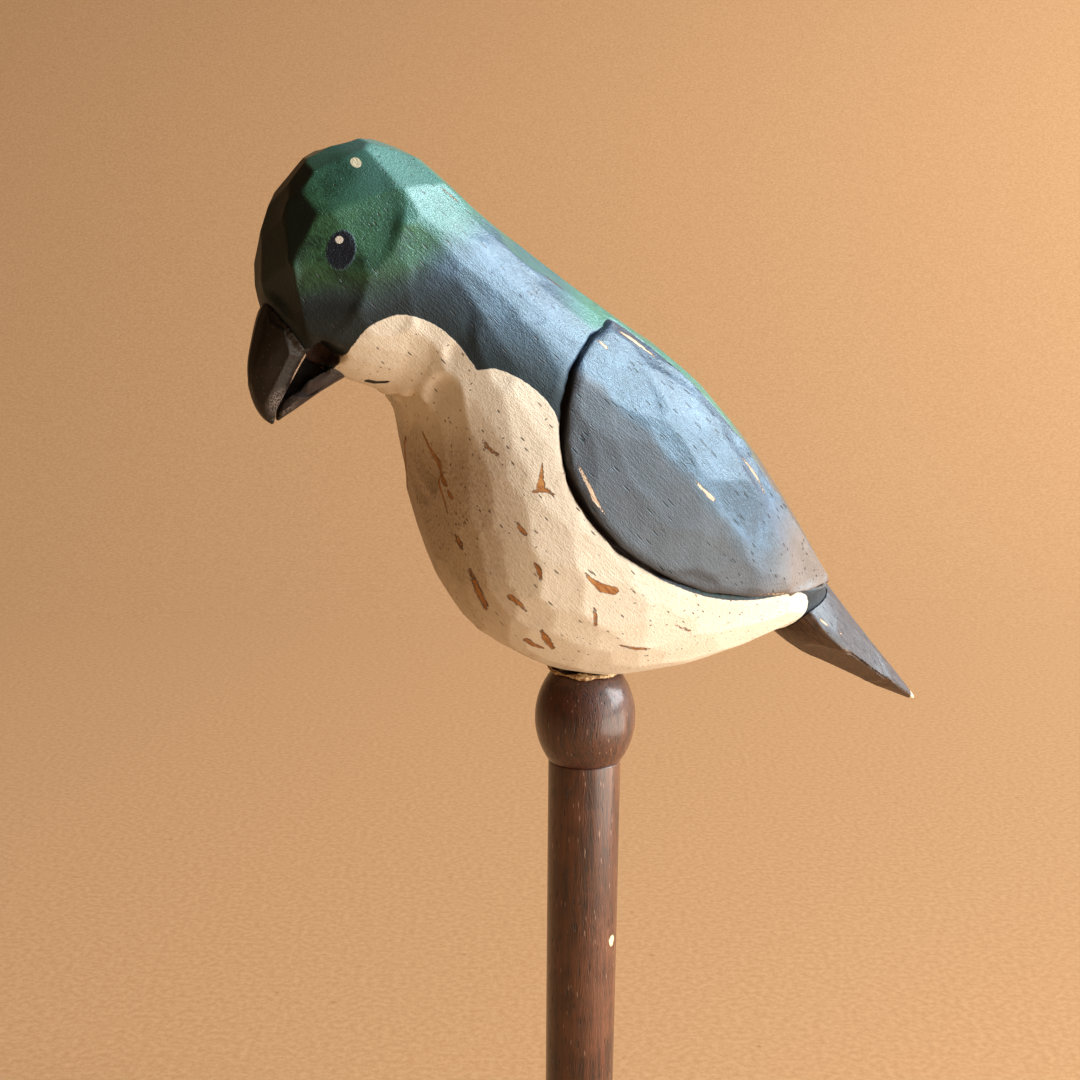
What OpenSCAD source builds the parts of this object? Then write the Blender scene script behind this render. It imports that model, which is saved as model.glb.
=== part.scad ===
// Carved and painted bird on a turned post.
// Frame: the bird faces -X with its tail toward +X, its left side is -Y, and +Z is up.
// Origin: centre of the base's underside, on the axis of the post. Units are millimetres.

/* [Stand] */
// Diameter of the round base
base_d = 120; // [90:1:150]
// Height of the base
base_h = 22; // [18:1:30]
// Length of the post between the base and the ball
post_len = 152; // [80:1:240]
// Diameter of the post where it meets the ball
post_top_d = 20.6; // [18:0.2:24]
// Diameter of the post where it meets the base
post_foot_d = 19.5; // [18:0.1:24]
// Widest diameter of the ball
ball_d = 28.6; // [27:0.2:34]
// Height of the ball between its two flat ends
ball_h = 26; // [22:0.5:28]
// Radius of the arc that makes the side of the ball
ball_arc = 21.5; // [20:0.5:26]

/* [Wings] */
// How far a wing is let into the side of the torso
wing_depth = 4.5; // [3:0.5:6]
// How far a wing stands proud of the torso
wing_proud = 1.2; // [0.4:0.2:2]
// Width of the open groove along the leading edge of a wing
wing_gap = 2.2; // [1:0.2:3]

/* [Joints] */
// Diameter of the tenon that passes through the ball into the belly
tenon_d = 10; // [8:0.5:12]
// Depth of that tenon in the belly
tenon_depth = 24; // [16:1:30]
// Diameter of the tenon in the base
foot_tenon_d = 12; // [10:0.5:14]
// Length of the tenon in the base
foot_tenon_len = 14; // [10:1:15]
// Diameter of the wing pegs and of the bill pegs
peg_d = 4; // [3:0.5:5]
// Diameter of the tail peg
tail_peg_d = 5; // [4:0.5:6]
// Glue clearance on the diameter of a bore
glue = 0.2; // [0.1:0.05:0.3]

/* [Smoothness] */
// Steps of the surface between two neighbouring sections
steps = 3; // [2:1:4]
// Sides of a section of the torso
sides = 28; // [20:4:36]

/* [Hidden] */
$fn = 96;

ball_z = base_h + post_len;
belly_z = ball_z + ball_h;
ball_waist = 12.5;  // height of the ball's widest ring above its lower end
seat_r = 10.5;      // radius of the flat filed on the belly for the ball
far = 100;          // longer than any cut needs to be

// Sections of the carving, in a frame on the post's axis at the height of the belly's seat.
// Each is [upper x, upper z, lower x, lower z, half width, fullness, height of the widest line].
// Fullness is the exponent of a superellipse. The widest line runs from -1, low, to 1, high.
torso = [
    [-92.5, 113, -92, 107, 3, 2.2, 0],
    [-91, 125, -89, 98, 13, 2.3, 0],
    [-84, 136.5, -82, 90, 20, 2.4, 0],
    [-68, 144, -70, 84, 24, 2.4, 0],
    [-53.5, 141, -56.8, 79, 26, 2.3, 0],
    [-39, 129.5, -50.5, 63.5, 28, 2.3, 0],
    [-20, 115.5, -47, 42, 32, 2.3, 0],
    [2, 101, -34.5, 17, 36, 2.3, 0],
    [21, 88, -9, 1.5, 37, 2.3, 0.1],
    [38.5, 69.5, 20, -1, 34, 2.2, 0.2],
    [55, 48.5, 43, 3, 27, 2.1, 0.25],
    [70, 29, 61, 7, 16, 2.1, 0.25],
    [77, 19, 71, 10, 7, 2, 0]
];
tail_plate = [
    [68, 31, 52, 16, 11, 1.6, -0.2],
    [79.4, 18.6, 64, 4, 14.5, 1.5, -0.3],
    [88.5, 8.2, 75.5, -3.3, 13.5, 1.4, -0.28],
    [98, -2.4, 89.2, -10.7, 9.5, 1.4, -0.25],
    [106.5, -11.7, 101.5, -16, 5, 1.5, -0.2],
    [113.3, -19.7, 112.3, -20.6, 1, 2, 0]
];
// The first point of each is on the ridge of the upper bill, the second on its cutting edge.
upper_beak = [
    [-84, 110, -76, 103, 10, 2.2, -0.3],
    [-91.8, 103, -79.5, 96.5, 10.5, 2.3, -0.4],
    [-94.8, 94, -82, 92.5, 9, 2.4, -0.5],
    [-96, 87, -84.8, 87, 7, 2.4, -0.5],
    [-95, 80, -87.6, 80.6, 4.8, 2.4, -0.4],
    [-92.8, 75.5, -89.3, 76.8, 2.8, 2.2, -0.3],
    [-89.8, 73, -89.3, 74.2, 1, 2, 0]
];
// The first point of each is on the crest inside the lower bill, the second on its underside.
lower_beak = [
    [-68, 98, -62, 91, 8.5, 2.6, 0.1],
    [-75.5, 93, -68.8, 86.2, 8.5, 2.6, 0.1],
    [-83, 86, -77.6, 81.2, 6.5, 2.6, 0.1],
    [-87.2, 79.5, -84.2, 76.8, 4, 2.4, 0.2],
    [-88.9, 75.2, -88.5, 73.8, 1, 2, 0]
];
// Corner of the open mouth that runs on into each cheek, seen from the side
mouth_corner = [[-84, 91], [-80.2, 96], [-74.5, 91.4], [-78, 87]];
mouth_web = 3;      // half thickness of the wood left between the two cheek cuts

// Outline of a wing from the side, from its shoulder down the leading edge and along to the tip
wing_low = [[-3, 98.5], [-13, 94.5], [-19.5, 87.5], [-22.6, 78], [-22.8, 70], [-21, 60], [-16.5, 52],
            [-8, 42.5], [4, 35], [20, 28.5], [35, 25], [55, 23.4], [73, 21]];
// and back from the tip to the shoulder along the edge of the back
wing_high = [[58, 34], [48, 45], [37, 59], [28, 71], [18, 82], [7, 92]];

// Places of the wing pegs from the side, and how far they reach from the middle plane
wing_peg_spots = [[-4, 62], [30, 42]];
wing_peg_y = [24, 34];
// Pegs of the bill and the tail: [x, z of the blind end in the carving, x, z of the other end]
upper_bill_peg = [-80, 108, -90, 88];
lower_bill_peg = [-66, 95, -79, 84];
tail_peg_run = [56, 27, 84, 2];

function sign_power(v, p) = sign(v) * pow(abs(v), p);

// Cubic that passes through b and c, a share t of the way from b to c
function between(a, b, c, d, t) =
    b + (c - a) * t / 2 + (2 * a - 5 * b + 4 * c - d) * t * t / 2 + (3 * b - a - 3 * c + d) * t * t * t / 2;

function lofted(list, n) = let (last = len(list) - 1) concat(
    [for (i = [0 : last - 1], j = [0 : n - 1]) between(
        i == 0 ? 2 * list[0] - list[1] : list[i - 1], list[i], list[i + 1],
        i == last - 1 ? 2 * list[last] - list[last - 1] : list[i + 2], j / n)],
    [list[last]]);

// One closed ring of points, moved out by grow all round
function ring(s, grow, n) =
    let (
        top = [s[0], s[1]],
        low = [s[2], s[3]],
        half = (top - low) / 2,
        middle = (top + low) / 2,
        reach = half * (1 + grow / norm(half)),
        width = s[4] + grow
    )
    [for (i = [0 : n - 1])
        let (
            a = 360 * i / n,
            h = sign_power(cos(a), 2 / s[5]) + s[6] * sin(a) * sin(a),
            across = sign_power(sin(a), 2 / s[5]) * width,
            p = middle + h * reach
        )
        [p[0], across, p[1]]];

// Solid skinned over a row of sections
module carving(sections, grow = 0, n = sides) {
    rings = lofted(sections, steps);
    rows = len(rings);
    points = [for (s = rings) each ring(s, grow, n)];
    skin = [for (r = [0 : rows - 2], i = [0 : n - 1])
        [r * n + i, r * n + (i + 1) % n, (r + 1) * n + (i + 1) % n, (r + 1) * n + i]];
    first = [for (i = [0 : n - 1]) n - 1 - i];
    last = [for (i = [0 : n - 1]) (rows - 1) * n + i];
    translate([0, 0, belly_z]) polyhedron(points, concat([first], skin, [last]), convexity = 6);
}

// Straight round bar between two places in the middle plane of the bird
module bar(run, d) {
    dx = run[2] - run[0];
    dz = run[3] - run[1];
    translate([run[0], 0, belly_z + run[1]])
        rotate([0, atan2(dx, dz), 0]) cylinder(d = d, h = norm([dx, dz]));
}

module wing_bars(side, d, y0, y1) {
    for (p = wing_peg_spots)
        translate([p[0], side * y0, belly_z + p[1]])
            rotate([-90 * side, 0, 0]) cylinder(d = d, h = y1 - y0);
}

// Straight-sided block on the outline of a wing, with its leading edge moved forward by gap
module wing_block(side, gap) {
    tip = len(wing_low) - 1;
    edge = [for (i = [0 : tip])
        let (ahead = gap * sin(180 * min(i + 0.5, tip) / tip)) wing_low[i] + ahead * leading(i)];
    translate([0, 0, belly_z]) rotate([90, 0, 0])
        translate([0, 0, side < 0 ? 8 : -8 - far]) linear_extrude(far) polygon(concat(edge, wing_high));
}

// Direction that points out of the wing at point i of its leading edge
function leading(i) =
    let (
        before = wing_low[max(i - 1, 0)],
        after = wing_low[min(i + 1, len(wing_low) - 1)],
        along = (after - before) / norm(after - before)
    )
    [along[1], -along[0]];

module wing_pocket(side) {
    difference() {
        wing_block(side, wing_gap);
        carving(torso, -wing_depth);
    }
}

module wing(side) {
    difference() {
        intersection() {
            carving(torso, wing_proud);
            wing_block(side, 0);
        }
        carving(torso, -wing_depth + glue / 2);
        wing_bars(side, peg_d + glue, 0, wing_peg_y[1] + glue);
    }
}

module cheek_cut(side) {
    translate([0, side < 0 ? -mouth_web : mouth_web + far, belly_z])
        rotate([90, 0, 0]) linear_extrude(far) polygon(mouth_corner);
}

module body() {
    color("ivory") difference() {
        carving(torso);
        for (side = [-1, 1]) {
            wing_pocket(side);
            wing_bars(side, peg_d + glue, wing_peg_y[0] - glue, far);
        }
        translate([0, 0, belly_z - far]) cylinder(r = seat_r, h = far);
        translate([0, 0, belly_z - 1]) cylinder(d = tenon_d + glue, h = tenon_depth + 1.5);
        for (side = [-1, 1]) cheek_cut(side);
        bar(upper_bill_peg, peg_d + glue);
        bar(lower_bill_peg, peg_d + glue);
        bar(tail_peg_run, tail_peg_d + glue);
    }
}

module left_wing() {
    color("slategray") wing(-1);
}

module right_wing() {
    color("slategray") wing(1);
}

module wing_pegs() {
    color("burlywood") for (side = [-1, 1]) wing_bars(side, peg_d, wing_peg_y[0], wing_peg_y[1]);
}

module upper_bill() {
    color("black") difference() {
        carving(upper_beak, 0, 20);
        carving(torso, glue / 2);
        bar(upper_bill_peg, peg_d + glue);
    }
}

module lower_bill() {
    color("dimgray") difference() {
        carving(lower_beak, 0, 20);
        carving(torso, glue / 2);
        bar(lower_bill_peg, peg_d + glue);
    }
}

module bill_pegs() {
    color("burlywood") {
        bar(upper_bill_peg, peg_d);
        bar(lower_bill_peg, peg_d);
    }
}

module tail() {
    color("dimgray") difference() {
        carving(tail_plate, 0, 20);
        carving(torso, glue / 2);
        bar(tail_peg_run, tail_peg_d + glue);
    }
}

module tail_peg() {
    color("burlywood") bar(tail_peg_run, tail_peg_d);
}

module ball_collar() {
    color("saddlebrown") translate([0, 0, ball_z]) difference() {
        rotate_extrude() intersection() {
            translate([ball_d / 2 - ball_arc, ball_waist]) circle(r = ball_arc);
            square([ball_d, ball_h]);
        }
        translate([0, 0, -1]) cylinder(d = tenon_d + glue, h = ball_h + 2);
    }
}

module post() {
    color("saddlebrown") union() {
        translate([0, 0, base_h]) cylinder(d1 = post_foot_d, d2 = post_top_d, h = post_len);
        translate([0, 0, base_h - foot_tenon_len]) cylinder(d = foot_tenon_d, h = foot_tenon_len + 1);
        translate([0, 0, ball_z - 1]) cylinder(d = tenon_d, h = 1 + ball_h + tenon_depth);
    }
}

// Round foot: a disc with a rounded rim whose top slopes up to a flat round the post
module base() {
    rim_r = 5;
    rim_x = base_d / 2 - rim_r;
    slope = atan((base_h - 2 * rim_r) / (base_d * 0.24));
    slope_low = [rim_x + rim_r * sin(slope), rim_r + rim_r * cos(slope)];
    flat_r = slope_low[0] - (base_h - slope_low[1]) / tan(slope);
    color("saddlebrown") difference() {
        rotate_extrude() difference() {
            union() {
                square([rim_x, rim_r]);
                translate([rim_x, rim_r]) circle(r = rim_r);
                polygon([[0, rim_r], [rim_x, rim_r], slope_low, [flat_r, base_h], [0, base_h]]);
            }
            translate([-far, -far]) square([far, 2 * far]);
        }
        translate([0, 0, base_h - foot_tenon_len - 0.5]) cylinder(d = foot_tenon_d + glue, h = far);
    }
}

body();
left_wing();
right_wing();
wing_pegs();
upper_bill();
lower_bill();
bill_pegs();
tail();
tail_peg();
ball_collar();
post();
base();
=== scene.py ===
import math

import bmesh
import bpy
import numpy as np
from mathutils import Matrix, Vector
from mathutils.bvhtree import BVHTree


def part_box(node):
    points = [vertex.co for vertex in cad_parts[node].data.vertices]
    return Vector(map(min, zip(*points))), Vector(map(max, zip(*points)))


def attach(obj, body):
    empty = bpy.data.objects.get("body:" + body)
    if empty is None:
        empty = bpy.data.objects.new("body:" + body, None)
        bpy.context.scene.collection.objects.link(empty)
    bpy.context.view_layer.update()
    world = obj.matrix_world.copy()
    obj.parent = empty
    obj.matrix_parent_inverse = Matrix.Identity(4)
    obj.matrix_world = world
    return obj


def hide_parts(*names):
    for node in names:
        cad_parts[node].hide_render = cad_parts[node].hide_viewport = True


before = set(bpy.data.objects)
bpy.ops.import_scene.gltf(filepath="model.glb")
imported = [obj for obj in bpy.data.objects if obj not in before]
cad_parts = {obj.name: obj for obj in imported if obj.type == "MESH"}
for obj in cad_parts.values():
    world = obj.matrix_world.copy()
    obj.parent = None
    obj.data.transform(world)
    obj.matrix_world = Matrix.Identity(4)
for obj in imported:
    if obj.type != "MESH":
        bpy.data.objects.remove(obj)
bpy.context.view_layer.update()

MM = 0.001
CHEST_UP = 200  # height of the belly's seat above the floor, in mm


# ---- colours and curves

def rgb(red, green, blue):
    """A screen colour, 0 to 255 a channel, as a linear colour, by the sRGB formula."""
    shares = [c / 255 for c in (red, green, blue)]
    return tuple(((s + 0.055) / 1.055) ** 2.4 if s > 0.04 else s / 12.92 for s in shares) + (1.0,)


def unit(a):
    """Vectors scaled to length 1, along the last axis."""
    a = np.asarray(a, float)
    return a / (np.linalg.norm(a, axis=-1, keepdims=True) + 1e-12)


def ramp(x, low, high):
    """Runs smoothly from 0 to 1 as x goes from low to high."""
    t = np.clip((x - low) / (high - low), 0, 1)
    return t * t * (3 - 2 * t)


def smooth_line(points, per_span=6, closed=False):
    """A Catmull-Rom curve through given points."""
    p = np.asarray(points, float)
    before = np.roll(p, 1, 0) if closed else np.vstack([2 * p[0] - p[1], p[:-1]])
    after = np.roll(p, -1, 0) if closed else np.vstack([p[1:], 2 * p[-1] - p[-2]])
    after2 = np.roll(p, -2, 0) if closed else np.vstack([after[1:], 2 * after[-1] - after[-2]])
    spans = len(p) if closed else len(p) - 1
    out = []
    for i in range(spans):
        a, b, c, d = before[i], p[i], after[i], after2[i]
        for t in np.arange(per_span) / per_span:
            out.append(b + (c - a) * t / 2 + (2 * a - 5 * b + 4 * c - d) * t**2 / 2
                       + (3 * b - a - 3 * c + d) * t**3 / 2)
    if not closed:
        out.append(p[-1])
    return np.array(out)


def beside_run(at, a, b):
    """For each 2-D place: the share of the way from a to b that it lies beside, and how far away it is."""
    run = b - a
    share = np.clip(((at - a) @ run) / max(run @ run, 1e-9), 0, 1)
    return share, np.linalg.norm(at - a - share[:, None] * run, axis=1)


def line_distance(at, line, closed=False):
    """Distance from each 2-D place to a line of points."""
    starts, ends = (line, np.roll(line, -1, 0)) if closed else (line[:-1], line[1:])
    return np.min([beside_run(at, a, b)[1] for a, b in zip(starts, ends)], 0)


def inside(at, line):
    """True for each 2-D place inside a closed line."""
    found = np.zeros(len(at), bool)
    x, z = at[:, 0], at[:, 1]
    for a, b in zip(line, np.roll(line, -1, 0)):
        spans = (a[1] > z) != (b[1] > z)
        rise = (b[1] - a[1]) if abs(b[1] - a[1]) > 1e-9 else 1e-9
        found ^= spans & (x < (b[0] - a[0]) * (z - a[1]) / rise + a[0])
    return found


def depth_in(at, line):
    """Distance to a closed line, above 0 inside it and below 0 outside it."""
    far = line_distance(at, line, closed=True)
    return np.where(inside(at, line), far, -far)


# ---- carving a dense mesh

class Skin:
    """The skin of a carved piece: its vertices in mm, and what carving needs to know of its faces."""

    def __init__(self, obj):
        self.obj = obj
        mesh = obj.data
        self.v = np.zeros(len(mesh.vertices) * 3)
        mesh.vertices.foreach_get("co", self.v)
        self.v = self.v.reshape(-1, 3) / MM
        mesh.calc_loop_triangles()
        self.faces = np.zeros(len(mesh.loop_triangles) * 3, np.int32)
        mesh.loop_triangles.foreach_get("vertices", self.faces)
        self.faces = self.faces.reshape(-1, 3)
        self.edges = np.zeros(len(mesh.edges) * 2, np.int32)
        mesh.edges.foreach_get("vertices", self.edges)
        self.edges = self.edges.reshape(-1, 2)
        self.count = np.bincount(self.edges.ravel(), minlength=len(self.v)).astype(float)
        self.open = np.ones(len(self.v), bool)  # the skin that may be cut

    def normals(self):
        a, b, c = (self.v[self.faces[:, i]] for i in range(3))
        flat = np.cross(b - a, c - a)
        out = np.zeros_like(self.v)
        for axis in range(3):
            for corner in range(3):
                out[:, axis] += np.bincount(self.faces[:, corner], flat[:, axis], len(self.v))
        return unit(out)

    def side_view(self):
        """Each vertex seen from the side: x, and z above the belly's seat."""
        return self.v[:, [0, 2]] - (0, CHEST_UP)

    def total_around(self, values):
        """The sum of a value over each vertex's neighbours."""
        a, b = self.edges.T
        return np.bincount(a, values[b], len(self.v)) + np.bincount(b, values[a], len(self.v))

    def around(self, values):
        """The mean of a value over each vertex's neighbours."""
        return self.total_around(values) / np.maximum(self.count, 1)

    def middles(self):
        """The middle of each vertex's neighbours."""
        return np.stack([self.around(self.v[:, axis]) for axis in range(3)], 1)

    def smooth(self, rounds, share=0.5, where=1.0, keep=True):
        """Evens the skin. With keep, every second step swells it again, so that its volume stays. where is
        the share, per vertex, by which the skin may move."""
        where = np.broadcast_to(np.reshape(where, (-1, 1)), (len(self.v), 1))
        for i in range(rounds * 2 if keep else rounds):
            step = share if i % 2 == 0 or not keep else -share * 1.04
            self.v += (self.middles() - self.v) * where * step

    def smooth_lines(self, edges, rounds=8):
        """Takes the small steps out of sharp edges, along their run."""
        mark = (edges > 0.45).astype(float)
        weight = self.total_around(mark)
        use = (mark > 0) & (weight > 1.5)  # on an edge, with two neighbours or more on it
        for _ in range(rounds):
            moved = self.v * mark[:, None]
            for axis in range(3):
                total = self.total_around(moved[:, axis])
                self.v[use, axis] += (total[use] / weight[use] - self.v[use, axis]) * 0.5

    def spread(self, values, rounds):
        """Blurs a value over the skin."""
        for _ in range(rounds):
            values = (values + self.around(values)) / 2
        return values

    def widened(self, values, rounds):
        """Raises each vertex's value to its highest neighbour's, rounds times."""
        a, b = self.edges.T
        for _ in range(rounds):
            np.maximum.at(values, a, values[b])
            np.maximum.at(values, b, values[a])
        return values

    def sharp(self, limit):
        """From 0 to 1: how near a vertex is to an edge where the skin turns by more than limit degrees."""
        n = self.normals()
        a, b = self.edges.T
        turn = ((n[a] * n[b]).sum(1) < math.cos(math.radians(limit))).astype(float)
        mark = np.zeros(len(self.v))
        np.maximum.at(mark, a, turn)
        np.maximum.at(mark, b, turn)
        return self.spread(self.widened(mark, 1), 2)

    def outer(self, edges, start):
        """True for each vertex joined to the start vertex by skin without a sharp edge."""
        free = edges < 0.3
        found = np.zeros(len(self.v), bool)
        found[start] = True
        a, b = self.edges[free[self.edges].all(1)].T
        while True:
            ahead = found[a] != found[b]
            if not ahead.any():
                return found
            found[a[ahead]] = True
            found[b[ahead]] = True

    def ridges(self):
        """How far each vertex stands out from its neighbours, in mm: below 0 in a hollow."""
        return self.spread(((self.v - self.middles()) * self.normals()).sum(1), 2)

    def put(self, name, values):
        """Stores a value per vertex for the materials to read."""
        layer = self.obj.data.attributes.new(name, "FLOAT", "POINT")
        layer.data.foreach_set("value", np.asarray(values, np.float32))

    def done(self):
        """Puts the carved shape back into the mesh."""
        mesh = self.obj.data
        mesh.vertices.foreach_set("co", (self.v * MM).astype(np.float32).ravel())
        mesh.polygons.foreach_set("use_smooth", np.ones(len(mesh.polygons), bool))
        mesh.update()


def dense_copy(node, name, voxel):
    """A new object with an even, dense mesh of a CAD node's shape."""
    copy = bpy.data.objects.new(name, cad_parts[node].data.copy())
    bpy.context.collection.objects.link(copy)
    even = copy.modifiers.new("even", "REMESH")
    even.mode = "VOXEL"
    even.voxel_size = voxel * MM
    even.adaptivity = 0
    mesh = bpy.data.meshes.new_from_object(copy.evaluated_get(bpy.context.evaluated_depsgraph_get()))
    copy.modifiers.clear()
    copy.data = mesh
    mesh.name = name
    mesh.materials.clear()
    return copy


CUT_REACH = 2  # how far round a cut the skin is looked at, in the cut's half lengths
DEEPEST_SHAVING = 2.8  # the most that one cut takes off, in mm; what stands much higher isn't this cut's
MOST_SWELL = 1.6  # the most that the skin swells to make up for what was cut off, in mm
EDGE_LIMIT = 0.05  # skin that may be cut has less than this of Skin.sharp, a little spread
SEAT_FIXED, SEAT_FREE = 1.0, 4.0  # mm from a seated part: no whittling, and free whittling


def cut_of(skin, normals, at, slope, length, width, hollow, deepest=1.8):
    """A knife cut: a nearly flat face, found so that it meets the skin about length by width from its middle.
    It runs at a slope in degrees, seen from the side. hollow is how far its middle dips, in mm."""
    middle = skin.v[np.linalg.norm(skin.v - at, axis=1).argmin()]
    reach = np.linalg.norm(skin.v - middle, axis=1)
    out = unit((normals * (skin.open * np.exp(-(reach / (width * 0.6)) ** 2))[:, None]).sum(0))
    angle = math.radians(slope)
    along = np.array([math.cos(angle), 0, math.sin(angle)])
    along = unit(along - (along @ out) * out)
    across = np.cross(out, along)
    near = np.flatnonzero(reach < max(length, width) * CUT_REACH)
    offset = skin.v[near] - middle
    far = (offset @ along / length) ** 2 + (offset @ across / width) ** 2
    rim = (far > 0.7) & (far < 1.3) & (normals[near] @ out > 0.1) & skin.open[near]
    level = float(np.clip((offset[rim] @ out).mean(), -deepest, 0)) if rim.any() else 0.0
    return middle, out, along, across, length, width, level, hollow


def placed_cuts(skin, normals, rows, hollow, deepest=1.8):
    """The cuts whose middles are given: rows of x, y, z, slope, half length and half width."""
    return [cut_of(skin, normals, np.array([x, y, z]), slope, length, width, hollow, deepest)
            for x, y, z, slope, length, width in rows]


def scattered_cuts(skin, normals, rng, keep, swing, lengths, widths):
    """Smaller cuts all over the skin, each at most swing degrees off the knife's direction there."""
    cuts = []
    for at in scattered(skin, rng, keep):
        slope = knife_slope(at) + rng.uniform(-swing, swing)
        length, width = rng.uniform(*lengths), rng.uniform(*widths)
        cuts.append(cut_of(skin, normals, at, slope, length, width, 0.1))
    return cuts


def carried(skin, moves):
    """Lets a pocket's wall go along with the open skin beside it."""
    rounds = 10
    share = np.maximum(skin.spread(skin.open.astype(float), rounds), 1e-6)
    beside = np.stack([skin.spread(moves[:, axis] * skin.open, rounds) for axis in range(3)], 1)
    return np.where(skin.open[:, None], moves, beside / share[:, None] * ramp(share, 0.01, 0.25)[:, None])


def whittle(skin, cuts, free, rounds=160):
    """Takes off what stands above each cut, and swells the skin to make up for the loss. free is the share,
    per vertex, by which the skin may move. More rounds spread the swelling further."""
    start = skin.v.copy()
    normals = skin.normals()
    for middle, out, along, across, length, width, level, hollow in cuts:
        offset = skin.v - middle
        near = np.flatnonzero(((offset**2).sum(1) < (CUT_REACH * max(length, width)) ** 2) & skin.open)
        offset = offset[near]
        far = (offset @ along / length) ** 2 + (offset @ across / width) ** 2
        above = offset @ out - (level + hollow * (far - 1))
        fade = np.clip((3.0 - far) / 1.2, 0, 1) * ramp(normals[near] @ out, 0, 0.3)
        fade *= 1 - ramp(above, DEEPEST_SHAVING, 4.2)
        skin.v[near] -= (np.clip(above, 0, DEEPEST_SHAVING) * fade)[:, None] * out
    moves = (skin.v - start) * free[:, None]
    counts = free * skin.open
    lost = -(moves * normals).sum(1)
    made_up = skin.spread(lost * counts, rounds) / np.maximum(skin.spread(counts, rounds), 0.05)
    moves += normals * (np.clip(made_up, 0, MOST_SWELL) * counts)[:, None]
    skin.v = start + carried(skin, moves)


def inner_of(skin, outer):
    """From 0 on the outer skin to 1 in the pockets and bores, with the ends of a pocket's edge left out."""
    return skin.spread(1 - skin.widened(outer.astype(float), 3), 1)


def free_of(skin, nodes, inner):
    """The share by which whittling may move each vertex: 0 beside the seated parts, and in bores."""
    free = 1.0 - ramp(skin.spread(inner, 12), 0.5, 0.95)
    for node in nodes:
        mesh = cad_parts[node].data
        points = [v.co / MM for v in mesh.vertices]
        tree = BVHTree.FromPolygons(points, [tuple(p.vertices) for p in mesh.polygons])
        box = np.array([tuple(p) for p in points])
        near = ((skin.v > box.min(0) - SEAT_FREE) & (skin.v < box.max(0) + SEAT_FREE)).all(1)
        for i in np.flatnonzero(near):
            distance = tree.find_nearest(Vector(skin.v[i]), SEAT_FREE)[3]
            if distance is not None:
                free[i] = min(free[i], ramp(distance, SEAT_FIXED, SEAT_FREE))
    return free


def scattered(skin, rng, keep):
    """Vertices spread at random over the skin, no two nearer than spacing, in mm."""
    spacing = 9
    chosen = []
    for i in rng.permutation(np.flatnonzero(keep))[:6000]:
        p = skin.v[i]
        if all(np.linalg.norm(p - q) > spacing for q in chosen):
            chosen.append(p)
    return np.array(chosen)


# Which way the knife ran, seen from the side: x, z above the belly's seat, slope in degrees
KNIFE_RUNS = [(-88, 120, 80), (-72, 142, 10), (-60, 138, -20), (-35, 122, -38), (0, 98, -40), (38, 58, -52),
              (62, 30, -50), (-72, 104, 60), (-64, 86, -50), (-52, 62, -82), (-38, 34, -62), (-14, 12, -35),
              (20, 4, -8), (52, 10, 18), (-34, 78, -70), (-20, 55, -65), (0, 60, -45), (25, 45, -42)]


def knife_slope(at):
    """The knife's direction at a place, from the nearest of KNIFE_RUNS."""
    runs = np.array(KNIFE_RUNS, float)
    weight = 1 / (((at[0] - runs[:, 0]) ** 2 + (at[2] - CHEST_UP - runs[:, 1]) ** 2) + 20) ** 2
    angle = np.radians(runs[:, 2]) * 2  # doubled, because a line has no front or back
    return math.degrees(math.atan2((weight * np.sin(angle)).sum(), (weight * np.cos(angle)).sum())) / 2


def mirrored(rows):
    """Given cuts of the left side, and the same on the right side, a little different."""
    rng = np.random.default_rng(5)
    for x, y, z, slope, length, width in rows:
        yield x, y, z, slope, length, width
        if y:
            shift = rng.uniform(-1.2, 1.2, 2)
            turned = slope + rng.uniform(-6, 6)
            yield x + shift[0], -y, z + shift[1], turned, length, width * rng.uniform(0.9, 1.1)
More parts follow.
